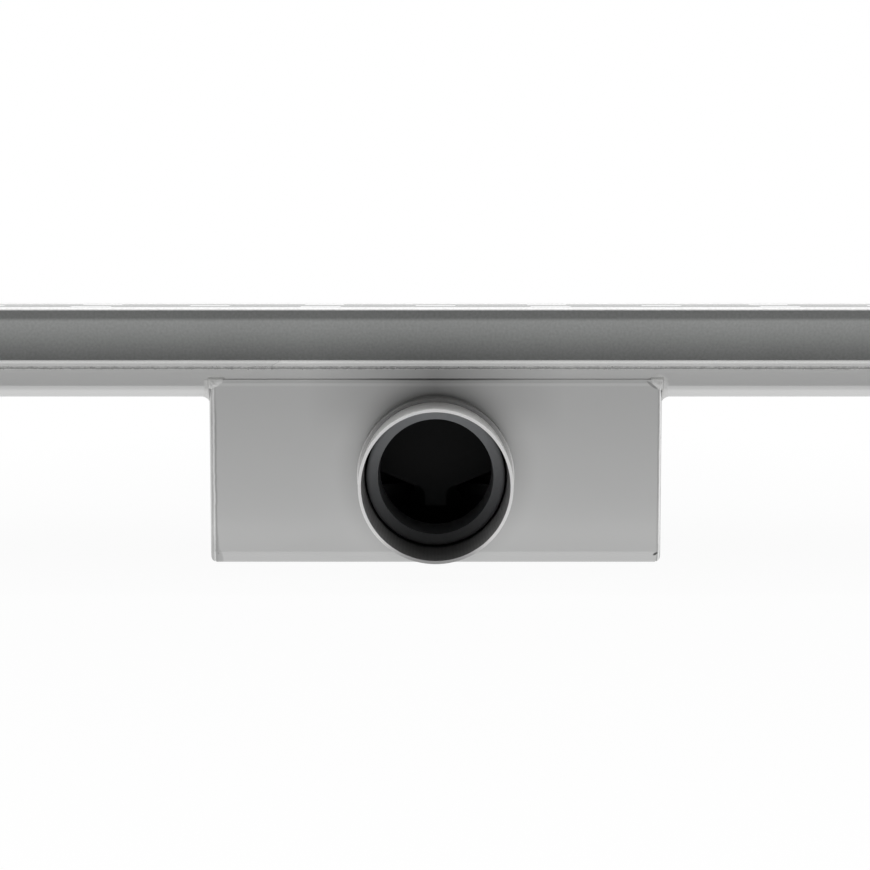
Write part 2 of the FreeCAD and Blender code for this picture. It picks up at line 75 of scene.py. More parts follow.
# %% Sizes of the drain
MM = 0.001
channel_low, channel_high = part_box("channel_body")
_, sump_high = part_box("sump_wrapper")
_, side_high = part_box("sump_side_right")
flange_low, flange_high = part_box("flange_front_left")
stub_low, stub_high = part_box("outlet_stub")
collar_low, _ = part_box("outlet_collar")

outlet_axis = (stub_low[2] + stub_high[2]) / 2
stub_radius = (stub_high[2] - stub_low[2]) / 2
collar_front = collar_low[1]
wall_face, channel_floor, rim_top = channel_high[1], channel_low[2], channel_high[2]
lap_end, lap_top = sump_high[0], sump_high[2]
plate_end = side_high[0]
flange_edge, flange_under, flange_top = -flange_low[1], flange_low[2], flange_high[2]
flange_joint = flange_high[0]
levels = ", ".join(f"{level / MM:.1f}" for level in (outlet_axis, flange_top, rim_top))
print("mm above the floor, of the outlet's axis, the flange and the rim:", levels)

# %% [markdown]
# ## Short ways to write a node tree
# A finish is a tree of small nodes. Two helpers add a node with its inputs filled or linked, and a
# third makes one Math node. The others name what the finishes do again and again: a product, a
# smooth step, a thin line, a little noise. So each finish below reads as a few lines.

# %% Helpers for node trees
def feed(tree, socket, value):
    """Link an output to a socket, or set the socket's own number or colour."""
    if isinstance(value, bpy.types.NodeSocket):
        tree.links.new(value, socket)
    elif isinstance(value, (tuple, list)) and socket.type == "RGBA" and len(value) == 3:
        socket.default_value = (*value, 1.0)
    else:
        socket.default_value = value


def add(tree, kind, settings=None, **inputs):
    """A new node with its settings, and its inputs by name with _ for a space."""
    node = tree.nodes.new(kind)
    for name, value in (settings or {}).items():
        setattr(node, name, value)
    for name, value in inputs.items():
        feed(tree, node.inputs[name.replace("_", " ")], value)
    return node


def sums(tree, operation, *values):
    """The value of one Math node."""
    node = add(tree, "ShaderNodeMath", {"operation": operation})
    for socket, value in zip(node.inputs, values):
        feed(tree, socket, value)
    return node.outputs[0]


print("helpers that add nodes are ready")

# %% Helpers for values
def chain(tree, operation, first, *others):
    """One operation on two or more values, such as the product or the largest of them."""
    for other in others:
        first = sums(tree, operation, first, other)
    return first


def squares(tree, first, second):
    """The sum of two squares."""
    return sums(tree, "MULTIPLY_ADD", first, first, sums(tree, "MULTIPLY", second, second))


def split(tree, vector):
    """The X, Y and Z of a vector."""
    return add(tree, "ShaderNodeSeparateXYZ", Vector=vector).outputs


def ramp(tree, value, low, high, start=0.0, end=1.0):
    """A smooth step of a value from start at low to end at high."""
    node = add(
        tree, "ShaderNodeMapRange", {"interpolation_type": "SMOOTHSTEP"},
        Value=value, From_Min=low, From_Max=high, To_Min=start, To_Max=end,
    )
    return node.outputs["Result"]


def line(tree, value, middle, half):
    """1 where a value lies at the middle, falling to 0 at half a width from it."""
    away = sums(tree, "ABSOLUTE", sums(tree, "SUBTRACT", value, middle))
    return ramp(tree, away, 0.0, half, 1.0, 0.0)


def noise(tree, place, scale, detail=2.0, roughness=0.5):
    """Soft noise from 0 to 1 at a place in metres, with a scale in patches for each metre."""
    node = add(
        tree, "ShaderNodeTexNoise", Vector=place, Scale=scale, Detail=detail, Roughness=roughness
    )
    return node.outputs[0]


def swing(tree, value, width):
    """A value from 0 to 1 made to swing evenly round 0, over a width."""
    return sums(tree, "MULTIPLY_ADD", value, width, -width / 2)


print("helpers for values are ready")

# %% Helpers for colours and groups
def blend(tree, factor, first, second):
    """A colour between two others."""
    node = add(tree, "ShaderNodeMix", {"data_type": "RGBA"})
    for number, value in ((0, factor), (6, first), (7, second)):
        feed(tree, node.inputs[number], value)
    return node.outputs[2]


def toned(tree, colour, tone):
    """A colour made lighter or darker by a tone around 1."""
    node = add(tree, "ShaderNodeVectorMath", {"operation": "SCALE"}, Scale=tone)
    feed(tree, node.inputs[0], colour)
    return node.outputs[0]


def new_group(name, inputs, outputs, tree_kind="ShaderNodeTree"):
    """An empty node group with named sockets, and its two ends."""
    tree = bpy.data.node_groups.new(name, tree_kind)
    for socket_name, kind, value in inputs:
        socket = tree.interface.new_socket(socket_name, in_out="INPUT", socket_type=kind)
        if value is not None:
            socket.default_value = value
    for socket_name, kind in outputs:
        tree.interface.new_socket(socket_name, in_out="OUTPUT", socket_type=kind)
    given, out = tree.nodes.new("NodeGroupInput"), tree.nodes.new("NodeGroupOutput")
    return tree, given.outputs, out.inputs


print("helpers for colours and groups are ready")

# %% [markdown]
# ## Two effects that several finishes share
# Rolled stainless sheet is never one even grey: it has faint clouds a few centimetres wide and a
# fine grain well under a millimetre. Each effect is a node group that puts out a tone, a change of
# roughness and a height, and a material sets how strong each one is.

# %% Effect: rolled sheet
FLOAT, VECTOR = "NodeSocketFloat", "NodeSocketVector"
EFFECT_OUTPUTS = (("Tone", FLOAT), ("Gloss Change", FLOAT), ("Height", FLOAT))


def rolled_sheet_group():
    """Faint clouds with a fine grain on them."""
    tree, given, out = new_group(
        "rolled_sheet",
        (
            ("Place", VECTOR, None),
            ("Cloud Scale", FLOAT, 18.0),
            ("Cloud Depth", FLOAT, 0.05),
            ("Grain Scale", FLOAT, 2500.0),
            ("Grain Depth", FLOAT, 0.05),
        ),
        EFFECT_OUTPUTS,
    )
    clouds = noise(tree, given["Place"], given["Cloud Scale"], 3.0)
    grain = noise(tree, given["Place"], given["Grain Scale"], 1.0)
    cloud_swing = sums(tree, "MULTIPLY", sums(tree, "SUBTRACT", clouds, 0.5), given["Cloud Depth"])
    grain_swing = sums(tree, "MULTIPLY", sums(tree, "SUBTRACT", grain, 0.5), given["Grain Depth"])
    both = sums(tree, "ADD", cloud_swing, grain_swing)
    feed(tree, out["Tone"], sums(tree, "MULTIPLY_ADD", both, 2.0, 1.0))
    feed(tree, out["Gloss Change"], sums(tree, "SUBTRACT", cloud_swing, grain_swing))
    feed(tree, out["Height"], grain)
    return tree


rolled_sheet = rolled_sheet_group()
print("effect made:", rolled_sheet.name)

# %% [markdown]
# Brushed steel has fine lines one way. A torn edge has short ones. Both are noise whose place is
# squeezed along one axis, which draws every patch of it out into a line along that axis.

# %% Effect: fine lines
def fine_lines_group():
    """Noise drawn out into fine lines."""
    tree, given, out = new_group(
        "fine_lines",
        (
            ("Place", VECTOR, None),
            ("Stretch", VECTOR, (1.0, 1.0, 1.0)),
            ("Line Scale", FLOAT, 2000.0),
            ("Line Depth", FLOAT, 0.1),
        ),
        EFFECT_OUTPUTS,
    )
    drawn = add(tree, "ShaderNodeVectorMath", {"operation": "MULTIPLY"})
    feed(tree, drawn.inputs[0], given["Place"])
    feed(tree, drawn.inputs[1], given["Stretch"])
    lines = noise(tree, drawn.outputs[0], given["Line Scale"], 3.0, 0.6)
    depth = sums(tree, "MULTIPLY", sums(tree, "SUBTRACT", lines, 0.5), given["Line Depth"])
    feed(tree, out["Tone"], sums(tree, "MULTIPLY_ADD", depth, 2.0, 1.0))
    feed(tree, out["Gloss Change"], depth)
    feed(tree, out["Height"], lines)
    return tree


fine_lines = fine_lines_group()
print("effect made:", fine_lines.name)

# %% [markdown]
# ## The steel finishes
# The steel is one metal with different surfaces. Its colour is a pale neutral grey, and what
# changes is how rough it is and how much grain it shows. A function makes the bare material and
# hands back what later lines build on.

# %% A bare material
def show(tree, result):
    """Make what a shader puts out the material's surface."""
    output = next(node for node in tree.nodes if node.type == "OUTPUT_MATERIAL")
    tree.links.new(result, output.inputs["Surface"])


def new_finish(name, **sockets):
    """A material with one Principled shader whose own sockets are set, and the place on it."""
    material = bpy.data.materials.new(name)
    material.use_nodes = True
    tree = material.node_tree
    tree.nodes.clear()
    shader = add(tree, "ShaderNodeBsdfPrincipled", **sockets)
    tree.nodes.new("ShaderNodeOutputMaterial")
    show(tree, shader.outputs[0])
    place = tree.nodes.new("ShaderNodeTexCoord").outputs["Object"]
    return material, tree, shader, place


def use_group(tree, group, **inputs):
    """Place a shared effect in a material."""
    node = tree.nodes.new("ShaderNodeGroup")
    node.node_tree = group
    for name, value in inputs.items():
        feed(tree, node.inputs[name.replace("_", " ")], value)
    return node.outputs


def set_look(tree, shader, colour, roughness, effect):
    """Give a shader its colour, and its roughness with the change that an effect makes in it."""
    feed(tree, shader.inputs["Base Color"], colour)
    feed(tree, shader.inputs["Roughness"], sums(tree, "ADD", effect["Gloss Change"], roughness))


def set_relief(tree, shader, height, depth):
    """Give a shader fine relief, with its depth in metres."""
    bump = add(tree, "ShaderNodeBump", Height=height, Distance=depth, Strength=1.0)
    feed(tree, shader.inputs["Normal"], bump.outputs[0])


print("material helpers are ready")

# %% [markdown]
# Above the outlet the sheet has painted shade, on the sump, the channel and the flange alike. One
# function works out that painted shade from the place on the object, and each finish says how
# deep it is there. This painted shade and the shade round the tube are only on the outlet's side.

# %% Painted shade above the outlet
SHADE_REACH = 44 * MM
SHADE_ON_WALLS, SHADE_ON_FLANGE, SHADE_ON_CUT = 0.36, 0.2, 0.4


def in_front(tree, parts):
    """1 on the outlet's side of the drain, falling to 0 at its middle."""
    return ramp(tree, parts["Y"], -15 * MM, 0.0, 1.0, 0.0)


def from_outlet_axis(tree, parts):
    """How high a place lies above the outlet's axis, and how far from it."""
    rise = sums(tree, "SUBTRACT", parts["Z"], outlet_axis)
    return rise, sums(tree, "SQRT", squares(tree, rise, parts["X"]))


def painted_shade_above_outlet(tree, parts, depth):
    """A factor of painted shade, darkest straight above the outlet, and only in front."""
    away = sums(tree, "ABSOLUTE", parts["X"])
    across = sums(tree, "MULTIPLY_ADD", away, -1 / SHADE_REACH, 1.0)
    across = sums(tree, "MAXIMUM", across, 0.0)
    upward = ramp(tree, parts["Z"], outlet_axis + 0.4 * stub_radius, outlet_axis + stub_radius)
    share = chain(tree, "MULTIPLY", across, upward, in_front(tree, parts))
    return sums(tree, "MULTIPLY_ADD", share, -depth, 1.0)


print("tint ready")

# %% [markdown]
# A weld bead is duller than the sheet beside it and a little uneven. The effect of rolled sheet
# gives it that, with deeper clouds and grain and a fine relief.

# %% Steel of the welds
WELD_GREY = (0.66, 0.66, 0.655)


def weld_finish():
    """Dull, slightly uneven steel."""
    material, tree, shader, place = new_finish("weld_steel", Metallic=1.0)
    sheet = use_group(tree, rolled_sheet, Place=place, Cloud_Depth=0.06, Grain_Depth=0.06)
    colour = toned(tree, WELD_GREY, sheet["Tone"])
    set_look(tree, shader, colour, roughness=0.52, effect=sheet)
    set_relief(tree, shader, sheet["Height"], depth=2e-6)
    return material


weld_steel = weld_finish()
print("weld finish made")

# %% [markdown]
# The sump's upright edges are welded and ground flush. What is left is a bright line, a painted
# highlight, between two dark ones, all wandering a little, and on the left the inner dark line
# widens downwards. Small dark pits lie low down at each corner, and a slanted one beside the weld
# at the upper right. Along the lap's edge lies a thin line of painted shade from the gap, deepest
# in the middle, and just under it a faint line of painted shade and a fainter painted highlight.
# The marks are painted where the sheet faces forwards or back, and not on its ends.

# %% Marks on the sump
HIGHLIGHT_MARK, DARK_MARK = 0.6, 0.3
# Each line has its end of the sump, how far past the lap's end it lies, its half width and its
# strength.
# The bright lines are painted highlights on the ground edges.
HIGHLIGHT_LINES = ((-1, 0.1 * MM, 0.5 * MM, 1.0), (1, 0.9 * MM, 0.4 * MM, 1.0))
DARK_LINES = (
    (-1, 0.8 * MM, 0.4 * MM, 0.6),
    (1, 0.3 * MM, 0.4 * MM, 0.25),
    (1, 1.45 * MM, 0.4 * MM, 0.6),
)
# Each pit has its place, its half length and half width, its turn in degrees and its strength.
PITS = (
    (-lap_end + 1.1 * MM, 3.6 * MM, 0.6 * MM, 0.4 * MM, 105, 1.3),
    (-lap_end + 1.5 * MM, 2.4 * MM, 3.0 * MM, 1.3 * MM, 98, 0.7),
    (lap_end - 0.3 * MM, 3.4 * MM, 1.1 * MM, 0.5 * MM, 28, 2.7),
    (lap_end - 2.0 * MM, lap_top - 1.8 * MM, 2.6 * MM, 0.5 * MM, -36, 1.5),
)


def edge_lines(tree, x, rows):
    """Upright lines at the ends of the sump, the strongest of them at each place."""
    lines = [
        sums(tree, "MULTIPLY", line(tree, x, end * (lap_end + past), half), strength)
        for end, past, half, strength in rows
    ]
    return chain(tree, "MAXIMUM", *lines)


def pit(tree, x, z, middle, level, length, width, degrees, strength):
    """An oval mark, strongest in its middle."""
    cosine, sine = math.cos(math.radians(degrees)), math.sin(math.radians(degrees))
    off_x, off_z = sums(tree, "SUBTRACT", x, middle), sums(tree, "SUBTRACT", z, level)
    along, aside = (
        sums(tree, "MULTIPLY_ADD", off_x, over_x / size, sums(tree, "MULTIPLY", off_z, up_z / size))
        for over_x, up_z, size in ((cosine, sine, length), (-sine, cosine, width))
    )
    return ramp(tree, squares(tree, along, aside), 0.2, 1.2, strength, 0.0)


def marks_of_sump(tree, place, parts):
    """A factor with the sump's dark marks, painted shade and painted highlights, 1 where there are
    none.
    """
    z = parts["Z"]
    x = sums(tree, "ADD", parts["X"], swing(tree, noise(tree, place, 260.0, 3.0), 0.5 * MM))
    spread = ramp(tree, z, 2 * MM, 14 * MM, 1.5 * MM, 0.5 * MM)
    widening = line(tree, x, -lap_end + 0.6 * MM, spread)
    dark = chain(tree, "MAXIMUM", widening, edge_lines(tree, x, DARK_LINES))
    faded = ramp(tree, z, lap_top - 13.1 * MM, lap_top - 5.1 * MM, 1.0, 0.3)
    dark = sums(tree, "MULTIPLY", dark, faded)
    # A faint line of painted shade, and under it a fainter painted highlight, on the sheet's edge.
    rolled = sums(tree, "MULTIPLY", line(tree, z, lap_top - 0.75 * MM, 0.35 * MM), 0.5)
    # Painted shade in the lap's gap, deepest in the middle.
    shade_in_lap_gap = ramp(tree, sums(tree, "ABSOLUTE", parts["X"]), 0.0, 0.5 * lap_end, 2.4, 0.4)
    shade_in_lap_gap = sums(tree, "MULTIPLY", line(tree, z, lap_top, 0.4 * MM), shade_in_lap_gap)
    pits = [pit(tree, x, z, *numbers) for numbers in PITS]
    dark = chain(tree, "MAXIMUM", dark, *pits, rolled, shade_in_lap_gap)
    rolled = sums(tree, "MULTIPLY", line(tree, z, lap_top - 1.7 * MM, 0.8 * MM), 0.2)
    bright = chain(tree, "MAXIMUM", edge_lines(tree, x, HIGHLIGHT_LINES), rolled)
    change = sums(tree, "MULTIPLY", dark, -DARK_MARK)
    change = sums(tree, "MULTIPLY_ADD", bright, HIGHLIGHT_MARK, change)
    normal = split(tree, add(tree, "ShaderNodeNewGeometry").outputs["Normal"])
    not_on_ends = ramp(tree, sums(tree, "ABSOLUTE", normal["X"]), 0.55, 0.85, 1.0, 0.0)
    return sums(tree, "MULTIPLY_ADD", change, not_on_ends, 1.0)


print("marks on the sump:", len(HIGHLIGHT_LINES) + len(DARK_LINES) + 1, "lines,", len(PITS), "pits")

# %% [markdown]
# The face itself is smooth satin sheet. It is a little darker towards the floor and close round
# the tube, where less light reaches it.

# %% Steel sheet of the sump
SATIN_STEEL = (0.630, 0.632, 0.628)
SATIN_ROUGHNESS = 0.31
SATIN_CLOUDS, SATIN_GRAIN = 0.02, 0.012


def sump_finish():
    """Satin sheet with the traces of its welds, painted shade and painted highlights."""
    material, tree, shader, place = new_finish("sump_steel", Metallic=1.0)
    sheet = use_group(
        tree, rolled_sheet, Place=place, Cloud_Depth=SATIN_CLOUDS, Grain_Depth=SATIN_GRAIN
    )
    parts = split(tree, place)
    near_floor = ramp(tree, parts["Z"], -2 * MM, 14 * MM, 0.83, 1.0)
    upward = ramp(tree, parts["Z"], 0.0, lap_top, 0.96, 1.03)
    _, radius = from_outlet_axis(tree, parts)
    round_tube = ramp(tree, radius, stub_radius, stub_radius + 11 * MM, 0.16, 0.0)
    round_tube = sums(tree, "MULTIPLY", round_tube, in_front(tree, parts))
    tone = chain(
        tree, "MULTIPLY", marks_of_sump(tree, place, parts), near_floor, upward,
        sums(tree, "SUBTRACT", 1.0, round_tube), painted_shade_above_outlet(tree, parts, SHADE_ON_WALLS),
        sheet["Tone"],
    )
    colour = toned(tree, SATIN_STEEL, tone)
    set_look(tree, shader, colour, roughness=SATIN_ROUGHNESS, effect=sheet)
    return material


sump_steel = sump_finish()
print("sump finish made")

# %% [markdown]
# The outlet's tube is pale steel with painted shade in its bore, on its underside and at its root,
# most of all on top. So its tone follows the distance from the tube's axis, the height and the
# place along the tube.

# %% Steel of the outlet
OUTLET_TUBE_STEEL = (0.95, 0.945, 0.94)
TUBE_WALL = 1.0 * MM


def outlet_finish():
    """Tube steel with painted shade inside, below and at its root."""
    material, tree, shader, place = new_finish("outlet_steel", Metallic=1.0)
    sheet = use_group(
        tree, rolled_sheet, Place=place, Cloud_Depth=0.03, Grain_Scale=1800.0, Grain_Depth=0.05
    )
    parts = split(tree, place)
    rise, radius = from_outlet_axis(tree, parts)
    inner_edge, blur = stub_radius - TUBE_WALL, 0.05 * MM
    outside = ramp(tree, radius, inner_edge - blur, inner_edge + blur, 0.22, 1.0)
    above = ramp(tree, rise, -stub_radius, -0.6 * stub_radius, 0.42, 1.0)
    at_root = ramp(tree, parts["Y"], collar_front - 0.6 * MM, collar_front + 0.1 * MM)
    # Painted shade at the root, deepest on top.
    root_shade = ramp(tree, rise, -0.2 * stub_radius, 0.95 * stub_radius, 0.25, 0.68)
    root_shade = sums(tree, "MULTIPLY", at_root, root_shade)
    unshaded_root = sums(tree, "SUBTRACT", 1.0, root_shade)
    tone = chain(tree, "MULTIPLY", outside, above, sheet["Tone"], unshaded_root)
    colour = toned(tree, OUTLET_TUBE_STEEL, tone)
    set_look(tree, shader, colour, roughness=0.5, effect=sheet)
    return material


outlet_steel = outlet_finish()
print("outlet finish made")

# %% [markdown]
# The channel's wall has two looks. Below the flange it is as smooth as the sump. Above it, a dull
# band is left by the strip that sticks on while the flange is welded: it is grainy, with painted
# shade that is darkest down by the flange, and a narrow strip of painted shade under the rim. A
# thin line of painted shade also lies in the lap's gap where the sump's sheet ends on the wall,
# deepest in the middle. All of these follow the height on the wall, so ramps on the height of the
# object's own coordinates place them.

# %% Steel sheet of the channel
GRAINY_LIGHT, GRAINY_IN_SHADE = (0.50, 0.51, 0.505), (0.185, 0.19, 0.188)
GRAINY_IN_RIM_SHADE = (0.27, 0.275, 0.272)
RIM_STEEL = (0.76, 0.76, 0.755)
LAP_GAP_SHADE_BLACK = (0.02, 0.02, 0.02)
GRAINY_ROUGHER = 0.17


def lap_gap_shade_line(tree, height, across):
    """1 in the thin line of painted shade in the lap's gap, weaker away from the middle."""
    above_edge = ramp(tree, height, lap_top, lap_top + 0.2 * MM)
    below_wall = ramp(tree, height, lap_top + 0.25 * MM, lap_top + 0.45 * MM, 1.0, 0.0)
    depth = ramp(tree, across, 0.0, 0.5 * lap_end, 0.9, 0.2)
    over_lap = ramp(tree, across, lap_end, lap_end + MM, 1.0, 0.0)
    return chain(tree, "MULTIPLY", above_edge, below_wall, depth, over_lap)


def channel_finish():
    """Satin below the flange, and a dull grainy band above it."""
    material, tree, shader, place = new_finish("channel_steel", Metallic=1.0)
    sheet = use_group(
        tree, rolled_sheet, Place=place, Cloud_Depth=SATIN_CLOUDS, Grain_Depth=SATIN_GRAIN
    )
    band = use_group(
        tree, rolled_sheet, Place=place, Cloud_Depth=0.05, Grain_Scale=1100.0, Grain_Depth=0.16
    )
    parts = split(tree, place)
    height, across = parts["Z"], sums(tree, "ABSOLUTE", parts["X"])
    is_band = ramp(tree, height, flange_top - 1.5 * MM, flange_top)
    # Painted shade in the band: darkest by the flange, and a strip of it under the rim.
    out_of_flange_shade = ramp(tree, height, flange_top - 4 * MM, rim_top - 3.5 * MM)
    under_rim = ramp(tree, height, rim_top - 4.9 * MM, rim_top - 3.3 * MM)
    on_rim = ramp(tree, height, rim_top - 1.3 * MM, rim_top - 0.7 * MM)
    grainy = blend(tree, out_of_flange_shade, GRAINY_IN_SHADE, GRAINY_LIGHT)
    grainy = blend(tree, under_rim, grainy, GRAINY_IN_RIM_SHADE)
    grainy = toned(tree, blend(tree, on_rim, grainy, RIM_STEEL), band["Tone"])
    tone = sums(tree, "MULTIPLY", sheet["Tone"], painted_shade_above_outlet(tree, parts, SHADE_ON_WALLS))
    is_lap_gap_shade = lap_gap_shade_line(tree, height, across)
    satin = blend(tree, is_lap_gap_shade, toned(tree, SATIN_STEEL, tone), LAP_GAP_SHADE_BLACK)
    rough = sums(tree, "MULTIPLY_ADD", is_band, GRAINY_ROUGHER, SATIN_ROUGHNESS)
    colour = blend(tree, is_band, satin, grainy)
    set_look(tree, shader, colour, roughness=rough, effect=sheet)
    relief = sums(tree, "MULTIPLY", band["Height"], is_band)
    set_relief(tree, shader, relief, depth=8e-6)
    return material


channel_steel = channel_finish()
print("channel finish made")

# %% [markdown]
# The flange is sheared from sheet. A sheared edge always shows two zones: a smooth bright one where
# the blade pressed in, and above it a dark, rough one where the metal tore, paler towards its top
# with a painted highlight. The border between them wanders, so noise moves it. On top, the sheet
# is dull beside the wall with a painted highlight there, darker and smoother further out, and
# smoother along its edge with a painted highlight. The sheet left of the butt joint is a little
# darker than the one right of it. Above the outlet the top and the cut get painted shade.

# %% Steel of the flange
TOP_HIGHLIGHT_BY_WALL, TOP_FURTHER_OUT = (0.88, 0.88, 0.87), (0.57, 0.57, 0.565)
TOP_EDGE_HIGHLIGHT = (0.72, 0.72, 0.71)
PRESSED = (0.74, 0.74, 0.73)
TORN_LOW, TORN_TOP_HIGHLIGHT = (0.40, 0.40, 0.40), (0.70, 0.70, 0.69)
FLANGE_ROUGHNESS, BY_WALL_ROUGHER, EDGE_ROUGHER = 0.52, 0.12, -0.2


def cut_of_flange(tree, place, z, torn):
    """The colour of the cut edge, pressed below and torn above."""
    wander = swing(tree, noise(tree, place, 900.0, 4.0, 0.8), 1.1 * MM)
    height = sums(tree, "ADD", z, wander)
    is_torn = ramp(tree, height, flange_under + 0.2 * MM, flange_under + 0.35 * MM)
    # The upper torn zone is paler: a painted highlight along the top of the cut.
    tear_top_highlight = ramp(tree, height, flange_under + 0.5 * MM, flange_under + 0.95 * MM)
    tear = toned(tree, blend(tree, tear_top_highlight, TORN_LOW, TORN_TOP_HIGHLIGHT), torn["Tone"])
    return blend(tree, is_torn, PRESSED, tear)


def flange_finish():
    """Sheet with a pressed and a torn zone on its cut edges."""
    material, tree, shader, place = new_finish("flange_steel", Metallic=1.0)
    sheet = use_group(
        tree, rolled_sheet, Place=place, Cloud_Depth=0.05, Grain_Scale=1300.0, Grain_Depth=0.22
    )
    torn = use_group(
        tree, fine_lines, Place=place, Stretch=(1.0, 1.0, 0.5), Line_Scale=1100.0, Line_Depth=0.4
    )
    parts = split(tree, place)
    out = sums(tree, "ABSOLUTE", parts["Y"])
    # Painted highlights beside the wall and along the outer edge.
    by_wall = ramp(tree, out, wall_face + 10 * MM, flange_edge - 7 * MM, 1.0, 0.0)
    highlit_edge = ramp(tree, out, flange_edge - 1.4 * MM, flange_edge - 0.3 * MM)
    left_sheet = ramp(tree, parts["X"], flange_joint - 0.4 * MM, flange_joint, 0.93, 1.0)
    top = toned(tree, blend(tree, by_wall, TOP_FURTHER_OUT, TOP_HIGHLIGHT_BY_WALL), left_sheet)
    top = blend(tree, highlit_edge, top, TOP_EDGE_HIGHLIGHT)
    top = toned(tree, toned(tree, top, painted_shade_above_outlet(tree, parts, SHADE_ON_FLANGE)), sheet["Tone"])
    cut = cut_of_flange(tree, place, parts["Z"], torn)
    cut = toned(tree, cut, painted_shade_above_outlet(tree, parts, SHADE_ON_CUT))
    normal = split(tree, add(tree, "ShaderNodeNewGeometry").outputs["Normal"])
    is_cut = ramp(tree, sums(tree, "ABSOLUTE", normal["Z"]), 0.3, 0.7, 1.0, 0.0)
    rough = sums(tree, "MULTIPLY_ADD", highlit_edge, EDGE_ROUGHER, FLANGE_ROUGHNESS)
    rough = sums(tree, "MULTIPLY_ADD", by_wall, BY_WALL_ROUGHER, rough)
    colour = blend(tree, is_cut, top, cut)
    set_look(tree, shader, colour, roughness=rough, effect=sheet)
    relief = sums(tree, "MULTIPLY", torn["Height"], is_cut)
    relief = sums(tree, "MULTIPLY_ADD", sheet["Height"], 0.25, relief)
    set_relief(tree, shader, relief, depth=5e-5)
    return material


flange_steel = flange_finish()
print("flange finish made")

# %% [markdown]
# The grate is brushed along its length. On the strainers the lines run upright, so their flat
# sides show only a fine grain. From a low camera brushed steel turns bright, as the photo's thin
# line above the rim shows, and from above it is a middle grey. A thin clear coat does that: it
# mirrors most at a flat angle, over steel that is darker and rougher.

# %% Brushed steel of the grate and the strainers
def brushed_finish(name, colour, stretch):
    """Steel brushed one way, so its lines run along the axis with the smallest stretch."""
    material, tree, shader, place = new_finish(
        name, Metallic=1.0, Coat_Weight=0.6, Coat_Roughness=0.08
    )
    lines = use_group(
        tree, fine_lines, Place=place, Stretch=stretch, Line_Scale=2500.0, Line_Depth=0.12
    )
    colour = toned(tree, colour, lines["Tone"])
    set_look(tree, shader, colour, roughness=0.22, effect=lines)
    set_relief(tree, shader, lines["Height"], depth=4e-6)
    return material


grate_steel = brushed_finish("grate_steel", (0.52, 0.52, 0.517), (0.02, 1.0, 1.0))
strainer_steel = brushed_finish("strainer_steel", (0.64, 0.64, 0.64), (1.0, 1.0, 0.1))
print("brushed finishes made")

# %% [markdown]
# ## Plastic and rubber
# The trap is moulded in black plastic and its sleeve in dark grey, with painted shade towards its
# lower half. Moulded plastic has a faint orange-peel relief and a soft sheen. The rubber seals are
# duller.

# %% Moulded plastic and rubber
def moulded(name, colour, roughness, peel, relief, gloss=0.5, low_shade_tone=1.0):
    """Plastic or rubber with a fine moulded texture, and painted shade's tone at the outlet's
    lowest level.
    """
    material, tree, shader, place = new_finish(
        name, Metallic=0.0, IOR=1.5, Specular_IOR_Level=gloss
    )
    skin = use_group(
        tree, rolled_sheet, Place=place, Cloud_Scale=40.0, Cloud_Depth=0.1, Grain_Scale=peel,
        Grain_Depth=0.06,
    )
    low, high = outlet_axis - stub_radius, outlet_axis + stub_radius
    # Painted shade towards the lower half, down to the given tone.
    upward = ramp(tree, split(tree, place)["Z"], low, high, low_shade_tone, 1.0)
    tone = sums(tree, "MULTIPLY", upward, skin["Tone"])
    set_look(tree, shader, toned(tree, colour, tone), roughness, effect=skin)
    set_relief(tree, shader, skin["Height"], depth=relief)
    return material


TRAP_BLACK, SPIGOT_GREY = (0.0042, 0.0045, 0.0052), (0.36, 0.37, 0.385)
RUBBER_BLACK = (0.014, 0.014, 0.014)
trap_plastic = moulded(
    "trap_plastic", TRAP_BLACK, roughness=0.5, peel=900.0, relief=5e-6, gloss=0.2
)
spigot_plastic = moulded(
    "spigot_plastic", SPIGOT_GREY, roughness=0.42, peel=1500.0, relief=4e-6, gloss=0.35,
    low_shade_tone=0.18,
)
seal_rubber = moulded("seal_rubber", RUBBER_BLACK, roughness=0.6, peel=1200.0, relief=1e-5)
print("moulded finishes made")

# %% [markdown]
# ## Dress the solid pieces
# A piece whose solid already has the right shape keeps it and only gets its finish in place of the
# plain one.

# %% Give each solid piece its finish
FINISH_OF_SLOT = {
    "channel_steel": channel_steel,
    "flange_steel": flange_steel,
    "sump_steel": sump_steel,
    "weld_steel": weld_steel,
    "outlet_steel": outlet_steel,
    "grate_steel": grate_steel,
    "strainer_steel": strainer_steel,
    "trap_plastic": trap_plastic,
    "spigot_plastic": spigot_plastic,
    "seal_rubber": seal_rubber,
}
for part in frame["record"]["subparts"]:
    solid = frame["nodes"][part["node"]]
    finish = FINISH_OF_SLOT[part["material_slot"]]
    if not solid.material_slots:
        solid.data.materials.append(finish)
    for slot in solid.material_slots:
        slot.material = finish

# %% [markdown]
# ## Welds
# A bead runs round the channel where each side plate meets it. It is hollow like any fillet weld,
# thick below the channel and thin up its walls. A sweep along the channel's outline makes it: at
# each step of the way it has a short curved section between the plate and the channel. It takes
# the place of the solid model's plainer weld.

# %% The way round the channel
CHANNEL_BEND = 4.0 * MM
BEAD_SPACING = 0.5 * MM


